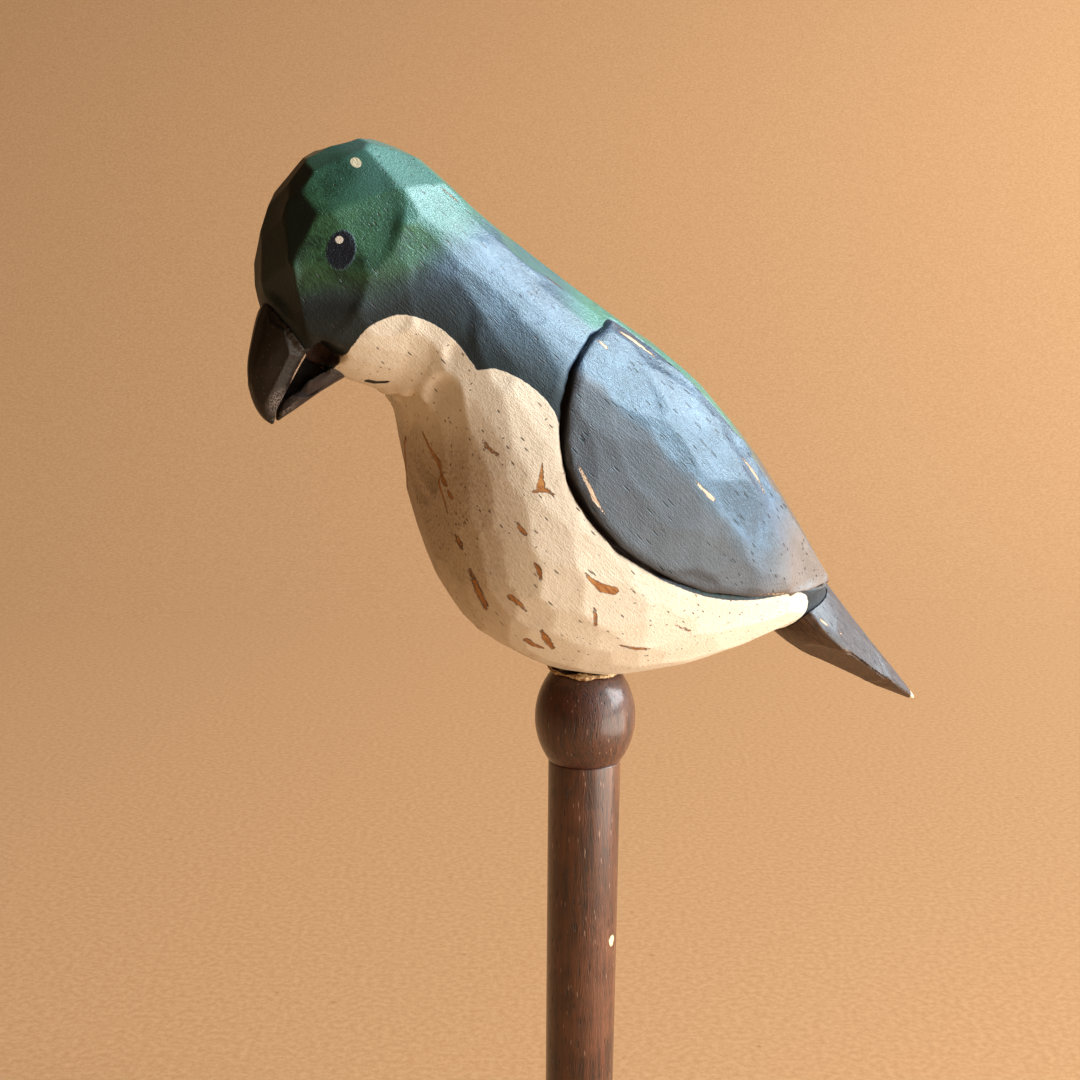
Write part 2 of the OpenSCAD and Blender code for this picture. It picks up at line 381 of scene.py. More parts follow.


# Large cuts, listed one by one: x, y, z of the middle, slope, half length and half width
BODY_CUTS = [
    # forehead and crown
    (-90, -9, 322, 78, 20, 8.5), (-89, -11, 305, 95, 9, 7), (-86, 0, 334, 60, 10, 8),
    (-92, 0, 322, 88, 14, 6), (-77, -13, 338, 15, 10, 6.5), (-62, -12, 339, -15, 10, 6),
    (-78, -16, 335, 35, 8, 6.5),
    # face
    (-82, -20, 319, 72, 14, 6.5), (-75, -22, 313, 75, 11, 7), (-66, -19, 335, -10, 9, 7),
    (-79, -21, 303, 20, 10, 6), (-68, -24, 305, -5, 11, 6.5),
    # nape and neck
    (-57, -21, 331, -28, 11, 6), (-65, -24, 319, -35, 10, 7), (-54, -24, 322, -35, 11, 6.5),
    (-45, -23, 320, -38, 11, 7), (-55, -25, 310, -20, 11, 6), (-40, -26, 308, -62, 9, 7),
    (-46, -27, 299, -60, 8, 6), (-36, -29, 295, -65, 9, 6), (-32, -21, 314, -38, 12, 5),
    (-25, -25, 305, -62, 10, 6.5), (-25, -30, 293, -68, 10, 6), (-17, -24, 300, -62, 9, 6),
    (-28, -32, 283, -75, 9, 5.5), (-12, -18, 304, -40, 9, 5),
    # breast, in long flutes
    (-44, -28, 280, -78, 12, 5.5), (-38, -31, 273, -72, 15, 5.5), (-31, -33, 276, -62, 14, 5),
    (-25, -35, 259, -58, 16, 5), (-32, -33, 254, -66, 14, 6), (-40, -28, 254, -74, 15, 6),
    (-47, -21, 262, -82, 15, 6.5), (-50, -7, 260, -88, 16, 7), (-46, -11, 242, -72, 13, 7),
    (-37, -25, 238, -64, 13, 6.5), (-27, -32, 238, -55, 12, 6), (-15, -35, 240, -45, 12, 5),
    (-6, -33, 228, -32, 13, 5.5), (-22, -29, 225, -42, 11, 6), (-34, -16, 221, -55, 11, 7),
    (-9, -26, 215, -25, 12, 6), (7, -31, 221, -15, 13, 5.5), (19, -31, 222, -8, 13, 5),
    (33, -27, 219, 8, 13, 5.5), (48, -23, 219, 15, 11, 5.5), (20, -24, 211, 0, 14, 6.5),
    (40, -19, 211, 15, 12, 6.5), (-2, -16, 206, -20, 10, 7), (56, -10, 212, 25, 9, 7),
    (20, -8, 203, 2, 14, 8), (-50, 0, 270, -85, 14, 6), (-34, 0, 226, -50, 14, 7),
    # back
    (-40, 0, 330, -37, 18, 6), (-46, -11, 330, -38, 14, 5), (-18, -9, 314, -38, 16, 6),
    (4, -10, 300, -40, 15, 6), (0, 0, 304, -42, 16, 7), (22, -12, 286, -46, 14, 7),
    (26, 0, 282, -48, 16, 7), (42, -12, 262, -52, 14, 7), (46, 0, 256, -55, 14, 7),
    (62, -8, 238, -52, 10, 7),
]
WING_CUTS = [
    (-12, -31, 290, -70, 9, 5.5), (-7, -32, 284, -50, 9, 5.5), (1, -28, 289, -42, 10, 5),
    (3, -33, 280, -45, 11, 7), (-15, -35, 276, -55, 9, 6), (-6, -36, 269, -48, 10, 6.5),
    (11, -33, 276, -42, 11, 6.5), (-11, -37, 258, -50, 12, 6), (5, -37, 263, -45, 12, 6.5),
    (16, -34, 270, -45, 12, 6.5), (-4, -38, 251, -45, 12, 6), (8, -38, 251, -42, 13, 6.5),
    (19, -36, 259, -45, 13, 6), (27, -32, 262, -52, 12, 5.5), (10, -37, 242, -30, 13, 5),
    (22, -36, 245, -38, 13, 6), (32, -34, 251, -48, 13, 5.5), (24, -35, 236, -22, 13, 5),
    (38, -32, 240, -40, 12, 6), (40, -31, 231, -20, 12, 5.5), (52, -27, 229, -25, 10, 6),
    (44, -29, 245, -52, 10, 4.5),
]


# ---- materials

class Look:
    """A procedural material, built from small steps. Its patterns lie in the object's own space, in mm."""

    def __init__(self, name):
        self.mat = bpy.data.materials.new(name)
        self.mat.use_nodes = True
        self.tree = self.mat.node_tree
        self.shader = self.tree.nodes["Principled BSDF"]
        self.space = self.tree.nodes.new("ShaderNodeTexCoord").outputs["Object"]

    def node(self, kind, inputs, **settings):
        made = self.tree.nodes.new("ShaderNode" + kind)
        for name, value in settings.items():
            setattr(made, name, value)
        for name, value in inputs.items():
            self.feed(made.inputs[name], value)
        return made

    def feed(self, socket, value):
        if isinstance(value, bpy.types.NodeSocket):
            self.tree.links.new(value, socket)
        else:
            socket.default_value = value

    def place(self, stretch, turn):
        """Places in mm, turned so that x runs along a slope in degrees, then stretched."""
        turned = self.node("Mapping", {"Vector": self.space, "Rotation": (0, math.radians(turn), 0),
                                       "Scale": (1 / MM,) * 3})
        return self.node("Mapping", {"Vector": turned.outputs[0], "Scale": stretch}).outputs[0]

    def noise(self, per_mm, detail=3, rough=0.6, stretch=(1, 1, 1), turn=0.0):
        """Soft patches, from 0 to 1. stretch and turn lay them along a grain."""
        made = self.node("TexNoise", {"Vector": self.place(stretch, turn), "Scale": per_mm, "Detail": detail,
                                      "Roughness": rough})
        return made.outputs["Fac"]

    def cells(self, per_mm, stretch=(1, 1, 1), turn=0.0, output="Distance"):
        made = self.node("TexVoronoi", {"Vector": self.place(stretch, turn), "Scale": per_mm})
        return made.outputs[output]

    def attr(self, name):
        return self.node("Attribute", {}, attribute_name=name).outputs["Fac"]

    def math(self, operation, *values):
        """One sum of the shader's maths node."""
        made = self.tree.nodes.new("ShaderNodeMath")
        made.operation = operation
        for socket, value in zip(made.inputs, values):
            self.feed(socket, value)
        return made.outputs[0]

    def add(self, *values):
        total = values[0]
        for v in values[1:]:
            total = self.math("ADD", total, v)
        return total

    def times(self, *values):
        total = values[0]
        for v in values[1:]:
            total = self.math("MULTIPLY", total, v)
        return total

    def step(self, value, low, high, start=0.0, end=1.0):
        """Runs smoothly from start to end as value goes from low to high."""
        made = self.node("MapRange", {"Value": value, "From Min": low, "From Max": high, "To Min": start,
                                      "To Max": end}, interpolation_type="SMOOTHSTEP")
        return made.outputs["Result"]

    def swing(self, pattern, size):
        """A pattern as a swing about 0, size from end to end."""
        return self.times(self.math("SUBTRACT", pattern, 0.5), size)

    def patches(self, a, b, share, low, high):
        """From 0 to 1: two patterns together, share of the first and the rest of the second."""
        return self.step(self.add(self.times(a, share), self.times(b, 1 - share)), low, high)

    def mix(self, share, a, b):
        """Colour a, turning to colour b as share goes from 0 to 1."""
        made = self.tree.nodes.new("ShaderNodeMix")
        made.data_type = "RGBA"
        self.feed(made.inputs["Factor"], share)
        self.feed(made.inputs[6], a)  # the sockets 6, 7 and 2 are the node's colours
        self.feed(made.inputs[7], b)
        return made.outputs[2]

    def pores(self, turn, share, length, width, radius):
        """Open pores of the wood: short dashes along the grain, 1 in their middle. share is the part of the cells
        that have one, length and width are in mm, and radius is the pore's reach within its cell."""
        stretch = (radius * 2 / length, radius * 2 / width, radius * 2 / width)
        far = self.cells(1.0, stretch, turn)
        chosen = self.step(self.cells(1.0, stretch, turn, "Color"), 1 - share - 0.02, 1 - share)
        return self.times(self.step(far, radius, radius * 0.6), chosen)

    def grain(self, turn, dark, light):
        """Bare wood: long streaks along the grain."""
        streaks = self.noise(1.0, 4, stretch=(0.06, 1.1, 1.1), turn=turn)
        fine = self.noise(1.0, stretch=(0.3, 5, 5), turn=turn)
        return self.mix(self.patches(streaks, fine, 0.7, 0.35, 0.65), dark, light)

    def finish(self, colour, rough, heights, specular=0.5, tint=None, coat=0.0, coat_rough=0.3):
        """Ends the material. heights are (height in mm, value) pairs that add up to its relief."""
        self.feed(self.shader.inputs["Base Color"], colour)
        self.feed(self.shader.inputs["Roughness"], rough)
        total = self.add(*[self.times(value, height * MM) for height, value in heights])
        bump = self.node("Bump", {"Height": total, "Distance": 1.0, "Strength": 1.0})
        self.feed(self.shader.inputs["Normal"], bump.outputs["Normal"])
        self.shader.inputs["Specular IOR Level"].default_value = specular
        if tint:
            self.shader.inputs["Specular Tint"].default_value = tint
        self.shader.inputs["Coat Weight"].default_value = coat
        self.shader.inputs["Coat Roughness"].default_value = coat_rough
        return self.mat


GRAIN = -45  # slope of the body's and wings' grain, seen from the side
BILL_GRAIN = -60
TAIL_GRAIN = -46
CREAM = rgb(238, 230, 212)
CREAM_DARKER = rgb(206, 184, 154)
# grey brown of the painted shade on the breast's front
BREAST_SHADE = rgb(168, 142, 114)
SLATE = rgb(50, 64, 84)
SLATE_LIGHT = rgb(80, 104, 130)
BLACK_BROWN = rgb(22, 18, 14)
GREEN_DARK = rgb(26, 48, 26)
GREEN_LIGHT = rgb(64, 108, 72)
TEAL = rgb(70, 122, 112)
# pale cyan of the crown's painted highlight
CROWN_HIGHLIGHT = rgb(112, 156, 152)
BACK_GREEN = rgb(84, 142, 118)
BACK_FADED = rgb(88, 86, 84)
WOOD_DARK = rgb(152, 92, 40)
WOOD_LIGHT = rgb(206, 150, 88)
EDGE_DARK = rgb(74, 42, 22)
# near black of the grooves round the wings: the dark joint, with the shade in them painted in as well
GROOVE_DARK = rgb(22, 13, 9)
# The cold light that the window gives the body's and the wings' satin paint
SATIN = {"specular": 0.65, "tint": (0.55, 0.86, 1.0, 1.0), "coat": 0.12, "coat_rough": 0.25}


def worn(look, colour, stray, slope, dark, light):
    """Bare wood with a dark rim where "bare", the distance into lost paint in mm, is above 0. The rim strays
    by half of stray, in mm. Gives the colour, and the share of lost paint."""
    torn = look.noise(1.0, 4, 0.65, (0.5, 1.5, 1.5), GRAIN)
    ragged = look.add(look.attr("bare"), look.swing(torn, stray))
    lost = look.step(ragged, 0.0, 0.14)
    rim = look.step(ragged, -0.17, -0.02)
    colour = look.mix(look.times(rim, 0.75), colour, EDGE_DARK)
    return look.mix(lost, colour, look.grain(slope, dark, light)), lost


def slate_paint(look, blotch, brush, share):
    """Slate blue, for the neck and the wings."""
    return look.mix(look.patches(blotch, brush, share, 0.38, 0.62), SLATE, SLATE_LIGHT)


def upper_paint(look, blotch, brush, fine):
    """The green head with painted highlights, the slate neck, painted shade and dark paint over both, and the
    stripe down the back.
    """
    head = look.mix(look.patches(blotch, brush, 0.6, 0.36, 0.62), GREEN_DARK, GREEN_LIGHT)
    # painted highlights: teal and pale cyan where the head's faces look up toward the light
    head = look.mix(look.times(look.attr("teal"), look.step(blotch, 0.3, 0.6, 0.4, 1)), head, TEAL)
    head = look.mix(look.times(look.attr("crown"), look.step(fine, 0.35, 0.6, 0.3, 0.7)), head, CROWN_HIGHLIGHT)
    paint = look.mix(look.attr("green"), slate_paint(look, blotch, brush, 0.5), head)
    # near black: painted shade on the front of the head and under the wing, and dark paint by the cheek and along
    # the breast
    paint = look.mix(look.attr("shade_and_dark_paint"), paint, BLACK_BROWN)
    stripe = look.mix(look.attr("fade"), look.mix(brush, BACK_GREEN, TEAL), BACK_FADED)
    return look.mix(look.attr("stripe"), paint, stripe)


def breast_paint(look, brush, fine):
    """Cream: dirty in the brush marks, darker in the hollows, and with painted shade on the breast's front below
    the throat.
    """
    dirt = look.patches(brush, fine, 0.6, 0.46, 0.7)
    paint = look.mix(look.times(dirt, 0.55), CREAM, CREAM_DARKER)
    hollow = look.step(look.attr("ridge"), -0.01, -0.05)
    paint = look.mix(look.times(hollow, 0.3), paint, CREAM_DARKER)
    # painted shade on the front of the breast below the throat, the side turned from the light
    return look.mix(look.times(look.attr("breast_shade"), look.step(brush, 0.3, 0.7, 0.35, 0.85)), paint, BREAST_SHADE)


def body_look():
    look = Look("carved_body_paint")
    blotch = look.noise(0.09, 3, 0.55)
    brush = look.noise(1.0, stretch=(0.25, 2.2, 2.2), turn=GRAIN)
    fine = look.noise(2.6)
    bib = look.step(look.add(look.attr("bib"), look.swing(look.noise(0.7, 2, 0.5), 0.5)), -0.12, 0.12)
    colour = look.mix(bib, upper_paint(look, blotch, brush, fine), breast_paint(look, brush, fine))
    eye = look.step(look.add(look.attr("eye"), look.swing(fine, 1.2)), -0.2, 0.35)
    colour = look.mix(eye, colour, rgb(26, 26, 38))
    for mark, paint in (("glint", rgb(236, 232, 222)), ("dot", rgb(246, 240, 208))):
        colour = look.mix(look.step(look.attr(mark), -0.08, 0.08), colour, paint)
    pores = look.pores(GRAIN, 0.34, 2.6, 0.5, 0.22)
    specks = look.pores(GRAIN + 70, 0.3, 1.1, 0.5, 0.16)
    colour = look.mix(look.times(pores, look.step(bib, 0, 1, 0.55, 0.8)), colour, EDGE_DARK)
    colour = look.mix(look.times(specks, bib, 0.7), colour, EDGE_DARK)
    colour, lost = worn(look, colour, 1.08, GRAIN, WOOD_DARK, WOOD_LIGHT)
    # the throat's slit, painted dark brown: painted shade of a cut the skin doesn't have
    colour = look.mix(look.step(look.attr("slit"), -0.12, 0.1), colour, rgb(34, 18, 10))
    # the pocket walls round the wings, dark brown: the dark joint, with the shade in the groove painted in as
    # well
    groove = look.attr("groove")
    colour = look.mix(groove, colour, look.mix(look.noise(1.6, 3, 0.7), GROOVE_DARK, rgb(86, 54, 32)))
    rough = look.add(look.step(bib, 0, 1, 0.30, 0.62), look.swing(fine, 0.18), look.times(lost, 0.2),
                     look.times(groove, 0.3), look.times(look.attr("shade_and_dark_paint"), 0.36))
    heights = [(0.15, brush), (0.15, fine), (0.12, look.noise(1.1)), (-0.22, pores), (-0.14, specks),
               (-0.30, lost), (0.12, eye), (0.10, bib), (0.5, look.times(groove, look.noise(1.8, 3, 0.7)))]
    return look.finish(colour, rough, heights, **SATIN)


def wing_look():
    look = Look("carved_wing_paint")
    blotch = look.noise(0.08, 3, 0.55)
    brush = look.noise(1.0, stretch=(0.22, 2.4, 2.4), turn=GRAIN)
    fine = look.noise(2.6)
    lower, tip, side = look.attr("lower"), look.attr("tip"), look.attr("side")
    colour = slate_paint(look, blotch, brush, 0.55)
    colour = look.mix(look.times(lower, 0.8), colour, look.mix(blotch, rgb(54, 48, 50), rgb(84, 75, 76)))
    colour = look.mix(look.times(tip, 0.85), colour, rgb(128, 116, 108))
    pores = look.pores(GRAIN, 0.5, 3.4, 0.55, 0.24)
    colour = look.mix(look.times(pores, 0.85), colour, rgb(24, 20, 24))
    colour, lost = worn(look, colour, 1.08, GRAIN, rgb(196, 160, 122), rgb(232, 210, 184))
    # the wing's side walls in the pocket, dark brown: the dark joint, with the groove's shade painted in as well
    colour = look.mix(side, colour, look.mix(fine, GROOVE_DARK, rgb(70, 46, 30)))
    rough = look.add(0.28, look.swing(fine, 0.2), look.times(lost, 0.25), look.times(tip, 0.08),
                     look.times(side, 0.3), look.times(lower, 0.2))
    heights = [(0.15, brush), (0.15, fine), (0.12, look.noise(1.1)), (-0.3, pores), (-0.25, lost)]
    return look.finish(colour, rough, heights, **SATIN)


def bill_look():
    look = Look("carved_bill_paint")
    blotch = look.noise(0.3)
    fine = look.noise(2.4, 3, 0.65)
    mouth = look.attr("mouth")
    colour = look.mix(look.step(blotch, 0.4, 0.65), rgb(12, 9, 8), rgb(25, 18, 18))
    colour = look.mix(look.attr("pale"), colour, rgb(52, 44, 44))
    specks = look.step(look.cells(0.8), 0.16, 0.1)
    colour = look.mix(look.times(specks, 0.4), colour, rgb(120, 104, 96))
    colour, lost = worn(look, colour, 0.84, BILL_GRAIN, rgb(186, 156, 130), rgb(222, 200, 178))
    rubbed = look.times(look.attr("rubbed"), look.step(fine, 0.44, 0.58))
    colour = look.mix(look.times(rubbed, 0.7), colour, rgb(168, 156, 150))
    # near black inside the mouth and on the web: the bill's black paint with the mouth's shade painted in
    colour = look.mix(mouth, colour, rgb(4, 3, 3))
    rough = look.add(0.42, look.times(mouth, 0.4), look.swing(fine, 0.25), look.times(lost, 0.25))
    return look.finish(colour, rough, [(0.10, blotch), (0.09, fine), (-0.15, lost)])


def tail_look():
    look = Look("carved_tail_paint")
    brush = look.noise(1.0, stretch=(0.2, 1.8, 1.8), turn=TAIL_GRAIN)
    fine = look.noise(2.4, 3, 0.65)
    top = look.mix(look.patches(brush, fine, 0.6, 0.4, 0.6), rgb(50, 50, 56), rgb(80, 80, 86))
    under = look.mix(look.step(brush, 0.35, 0.65), rgb(52, 36, 26), rgb(88, 62, 42))
    colour = look.mix(look.attr("under"), top, under)
    pores = look.pores(TAIL_GRAIN, 0.35, 2.4, 0.45, 0.22)
    colour = look.mix(look.times(pores, 0.7), colour, rgb(30, 24, 22))
    rubbed = look.times(look.step(look.attr("ridge"), 0.02, 0.06), look.step(look.noise(0.5), 0.45, 0.6))
    colour = look.mix(look.times(rubbed, 0.7), colour, rgb(176, 160, 138))
    colour, lost = worn(look, colour, 0.96, TAIL_GRAIN, rgb(196, 164, 128), rgb(236, 216, 190))
    rough = look.add(0.42, look.swing(fine, 0.2), look.times(lost, 0.25))
    heights = [(0.09, brush), (0.06, fine), (-0.2, pores), (-0.2, lost)]
    return look.finish(colour, rough, heights, 0.55, (0.8, 0.93, 1.0, 1.0))


def dark_wood_look(name, turn, haze, red):
    """Stained, open-pored wood. haze is the share of the dull purple bloom, red that of the worn stain."""
    look = Look(name)
    streaks = look.noise(1.0, 4, stretch=(0.05, 0.8, 0.8), turn=turn)
    fine = look.noise(1.0, stretch=(0.35, 4, 4), turn=turn)
    colour = look.mix(look.patches(streaks, fine, 0.6, 0.36, 0.64), rgb(28, 12, 6), rgb(98, 52, 31))
    colour = look.mix(look.times(look.step(look.noise(0.05), 0.45, 0.65), red), colour, rgb(128, 78, 50))
    colour = look.mix(haze, colour, rgb(92, 66, 62))
    pores = look.pores(turn, 0.55, 3.2, 0.42, 0.25)
    # pale flecks: worn spots, and painted glints where they catch the light
    flecks = look.pores(turn + 4, 0.35, 2.2, 0.4, 0.22)
    colour = look.mix(look.times(pores, 0.9), colour, rgb(22, 11, 8))
    colour = look.mix(look.times(flecks, 0.5), colour, rgb(176, 142, 120))
    colour = look.mix(look.step(look.attr("chip"), -0.1, 0.15), colour, rgb(226, 214, 170))
    rough = look.add(0.40, look.swing(fine, 0.25), look.times(pores, 0.2))
    heights = [(0.10, streaks), (0.18, fine), (-0.25, pores), (0.05, flecks)]
    return look.finish(colour, rough, heights, coat=0.6, coat_rough=0.2)


def peg_look():
    look = Look("bare_pegs")
    colour = look.grain(90, rgb(176, 128, 78), rgb(214, 172, 116))
    rough = look.step(look.noise(1.5, 2, 0.5), 0.3, 0.7, 0.6, 0.8)
    return look.finish(colour, rough, [(0.06, look.noise(2.0, 3, 0.5))])


def glue_look():
    look = Look("old_glue")
    lumps = look.noise(0.8)
    colour = look.mix(look.step(lumps, 0.4, 0.62), rgb(140, 100, 60), rgb(228, 204, 160))
    return look.finish(colour, look.step(lumps, 0.3, 0.7, 0.35, 0.6), [(0.25, lumps)])


def card_look():
    look = Look("pale_card")
    card = look.mix(look.step(look.noise(0.35, 4, 0.7), 0.3, 0.7), rgb(185, 139, 96), rgb(201, 157, 113))
    specks = look.step(look.cells(0.035), 0.06, 0.02)
    card = look.mix(look.times(specks, 0.4), card, rgb(150, 100, 56))
    return look.finish(card, 0.9, [(0.05, look.noise(0.8, 3, 0.5))], 0.15)


# ---- painted and worn places

# Upper limit of the cream breast from the chin to the notch behind the cheek, and on to the tail: x, z - 200
BIB_CHEEK = [(-77, 81), (-75.5, 90), (-73.8, 95.5), (-70.7, 99.3), (-64.2, 101.7), (-56.7, 99.9),
             (-50.7, 95.5), (-47.1, 90.8), (-45.4, 88)]
BIB_FLANK = [(-45.4, 88), (-40, 88.1), (-32.6, 84.2), (-27.6, 79.2), (-24.6, 73), (-23.2, 66),
             (-21.6, 58), (-16.5, 49.5), (-8, 40.5), (4, 32.5), (20, 25.8), (35, 23), (48, 22.6),
             (56, 22), (61, 19), (63.2, 13.5), (60, 7)]
BIB_BELOW = [(45, -15), (-40, -12), (-115, 40), (-115, 70), (-84, 76)]
# The green cap of the head
CAP = [(-115, 100), (-88, 104), (-78.7, 106.5), (-69, 104.5), (-60, 111), (-52, 118), (-45, 121), (-36, 130),
       (-52, 160), (-115, 160)]
# Lost paint on the left side: lines of x, z - 200, radius
BODY_BARE = [
    [(-43.4, 70.2, 0.4), (-42, 68.2, 0.8), (-40.4, 66.7, 0.7)],
    [(-29.8, 64.5, 0.3), (-30, 60.5, 1.3), (-30, 58.6, 2.3)],
    [(-32.3, 57.4, 0.3), (-29, 57.8, 1.2), (-25.8, 56.2, 0.2)],
    [(-35.4, 49.4, 0.4), (-34, 47.4, 0.9), (-33.1, 46.2, 0.9)],
    [(-42.1, 35.3, 0.3), (-39.4, 29.1, 0.9), (-37, 25, 0.7), (-36.2, 23, 0.2)],
    [(-33.9, 28.7, 1.0), (-31.5, 26.5, 1.0), (-29.4, 24.3, 0.3)],
    [(-26.2, 14.9, 0.9), (-23.5, 13, 1.1), (-21.2, 12.1, 0.4)],
    [(-24.6, 18.7, 0.4), (-22.3, 15.7, 1.4), (-19.1, 12.3, 0.7)],
    [(-17.5, 35.5, 0.4), (-15, 33, 1.1), (-12, 31, 2.3), (-8.7, 30, 2.2)],
    [(-13.4, 25.4, 0.4), (-12.5, 22.8, 1.0), (-11.9, 20.2, 0.7)],
    [(-30.3, 38.7, 0.3), (-29, 36.6, 1.2), (-28.1, 33.5, 0.4)],
    [(-45.9, 44.6, 0.2), (-45, 42.5, 0.7), (-44, 40.2, 0.2)],
    [(10.9, 19, 0.2), (14, 17.2, 0.5), (17.3, 15.8, 0.6)],
    [(-3, 13.4, 0.3), (2, 11.8, 0.8), (6.6, 11.4, 0.3)],
    [(-51, 132.6, 0.2), (-48.5, 130.6, 0.4), (-46, 128.8, 0.2)],
    [(-22.5, 110.6, 0.2), (-20, 108.8, 0.4), (-17.5, 107, 0.2)],
    [(33, 64, 0.2), (38, 56.5, 0.4), (43, 49, 0.2)],
]
# The same on the front of the breast, seen from the front: y, z - 200, radius
FRONT_BARE = [
    [(-5.8, 70.5, 0.7), (-7.2, 66.5, 1.3), (-9.2, 63.2, 1.5), (-10.6, 60.3, 2.3), (-11.7, 57, 2.2),
     (-12.8, 53.7, 1.2), (-13.5, 49.8, 0.5)],
    [(-8.4, 65, 0.8), (-11.5, 63, 1.1), (-14, 61, 2.2), (-15.4, 57.6, 1.0)],
    [(-16, 55.5, 1.1), (-16.4, 54.5, 1.1)],
]
WING_BARE = [
    [(10.4, 60.5, 0.2), (13.8, 56.7, 0.6), (16.5, 54.5, 0.9), (18.2, 53, 0.8)],
    [(-21.4, 65, 0.1), (-19.2, 60.3, 0.9), (-16.8, 55.2, 0.9), (-13, 50, 0.2)],
    [(-3, 96.2, 0.5), (0, 94.6, 0.9), (3.5, 92.2, 0.8), (6.5, 89.8, 0.3)],
    [(-11.8, 94.6, 0.3), (-9.8, 92.7, 0.7)],
    [(30, 63, 0.2), (32, 60.8, 0.6), (35, 57, 0.5), (37.5, 52.5, 0.3)],
    [(36, 24.8, 0.2), (42, 24.2, 0.5), (48, 23.6, 0.3)],
]
# The wing's upper edge, seen from the side: x, z - 200
WING_TOP = np.array([(7, 92), (18, 82), (28, 71), (37, 59), (48, 45), (58, 34), (68, 24)], float)
WING_MIDDLE = (25, 0, CHEST_UP + 62)
# In mm: how far the wing is let down along its upper edge, laid over the back there, and widened elsewhere
WING_LET_DOWN, WING_OVER_BACK, WING_WIDENED = 0.8, 0.9, 1.1
# The painted eye, its glint and the dot on the crown: x, z - 200 of the middle, and radii in mm
EYE, EYE_RADII, EYE_LEAN = (-78, 117.4), (3.3, 4.9), math.radians(14)
GLINT, GLINT_RADIUS = (-78.3, 119.8), 0.95
DOT, DOT_RADIUS = (-71.6, 138.3), 1.25
# The knife's slit in the throat, on the left, and half its width: it isn't cut, only painted dark as its shade
SLIT, SLIT_HALF = np.array([(-67.4, 84.3), (-65.2, 83.8), (-62.9, 84.1)]), 0.42
NOWHERE = -9.0  # the distance into a mark, in mm, where a piece doesn't have that mark


def losses(at, side, lines, rng, width=0.5):
    """Distance into lost paint, in mm. The lines are the left side's; the right side has them shifted."""
    best = np.full(len(at), NOWHERE)
    for line in lines:
        left = np.array(line, float)
        right = left.copy()
        right[:, :2] += rng.uniform(-5, 5, 2)
        for which, points in ((side < 0, left), (side > 0, right)):
            for a, b in zip(points[:-1], points[1:]):
                share, away = beside_run(at[which], a[:2], b[:2])
                best[which] = np.maximum(best[which], width * (a[2] + share * (b[2] - a[2])) - away)
    return best


# ---- body

def carve_body(skin, edges, outer, inner, rng):
    skin.smooth(14, 0.5, 1 - edges)
    skin.smooth_lines(edges)
    normals = skin.normals()
    skin.open = outer & (skin.spread(edges, 1) < EDGE_LIMIT)
    cuts = placed_cuts(skin, normals, mirrored(BODY_CUTS), 0.12)
    throat = (skin.v[:, 0] < -46) & (skin.v[:, 2] < 301) & (skin.v[:, 2] > 272)
    cuts += scattered_cuts(skin, normals, rng, outer & ~throat, 12, (9, 13), (4.5, 6))
    free = free_of(skin, ("upper_bill", "lower_bill", "tail", "ball_collar"), inner)
    free *= ramp(line_distance(skin.side_view(), WING_TOP), 0.5, 6)
    whittle(skin, cuts, free)
    skin.smooth(2, 0.4, free, False)


def mark_upper_paint(skin, inner, bib_depth):
    """Marks the green head and its painted highlights, the painted shade and dark paint, and the stripe down the
    back.
    """
    x, z = skin.side_view().T
    side = skin.v[:, 1]
    ahead, _, up = skin.normals().T
    cap_depth = depth_in(skin.side_view(), smooth_line(CAP, 3, closed=True))
    skin.put("green", ramp(cap_depth, -4, 5))
    # painted highlights: teal and pale cyan on the head's faces that look up toward the light
    skin.put("teal", ramp(x + z * 0.4, -40, -8) * ramp(up, -0.1, 0.5))
    crown = ramp(up + 0.35 * ahead, 0.3, 0.7) * ramp(x, -75, -69) * ramp(x, -44, -60)
    skin.put("crown", crown * ramp(side, 8, -2))
    # painted shade on the forehead, on the faces turned from the light and under the wing; dark paint by the
    # cheek and beside the breast
    cheek = ramp(x, -50, -64) * ramp(cap_depth, 6, -3)
    forehead = 0.8 * ramp(x, -82, -92) * ramp(z, 150, 136)
    face = 0.9 * ramp(-ahead, 0.45, 0.75) * ramp(x, -70, -82)
    under_wing = 0.8 * ramp(x, 0, 8) * ramp(z, 44, 36) * ramp(up, 0.6, 0.2)
    beside_bib = 0.95 * ramp(-bib_depth, 18, 1) * ramp(x, -4, -22)
    skin.put("shade_and_dark_paint", np.clip(np.max([cheek, forehead, face, under_wing, beside_bib], 0), 0, 1))
    upward = up * 0.75 + ahead * 0.66
    back = ramp(x, -24, -8) * ramp(upward, 0.45, 0.75)
    nape = 0.8 * ramp(x, -62, -50) * ramp(upward, 0.75, 0.92)
    in_pocket = inner * ramp(line_distance(skin.side_view(), WING_TOP), 3, 4)
    skin.put("stripe", np.maximum(back, nape) * (np.abs(side) < 33) * (1 - in_pocket))
    skin.put("fade", ramp(x, 26, 42))


